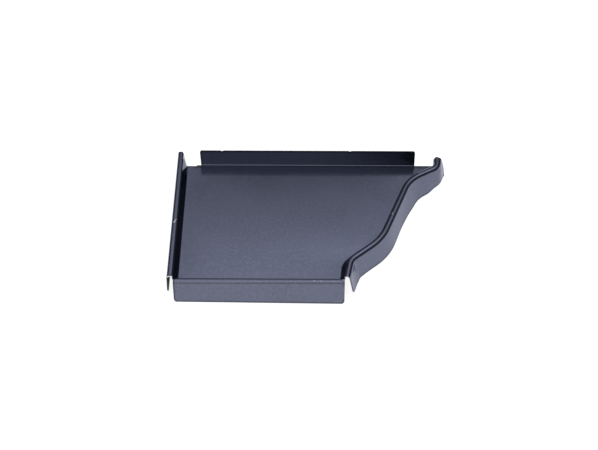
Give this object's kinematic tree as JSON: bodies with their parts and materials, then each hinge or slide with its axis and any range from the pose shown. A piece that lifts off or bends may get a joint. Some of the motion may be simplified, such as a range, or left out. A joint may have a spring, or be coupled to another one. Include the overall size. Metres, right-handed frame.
{
  "type": "gutter end cap",
  "caption": "Ogee gutter end cap pressed from one sheet: a flat plate with a hooked rim and flared skirt round back, bottom and curved front, and a flange folded up at the open top.",
  "frame": {"origin": "middle of the part's box, at the level of the skirt edges that it rests on", "axes": "+X from the gutter's back to its front, +Y from its bottom to its open top, +Z out of the closed end"},
  "size_m": [0.1338, 0.0914, 0.014],
  "materials": {
    "painted_sheet": "semi-gloss dark slate-blue coil paint, bare aluminium at the cut edges"
  },
  "bodies": {
    "root": {"end_cap": "painted_sheet"}
  },
  "joints": []
}
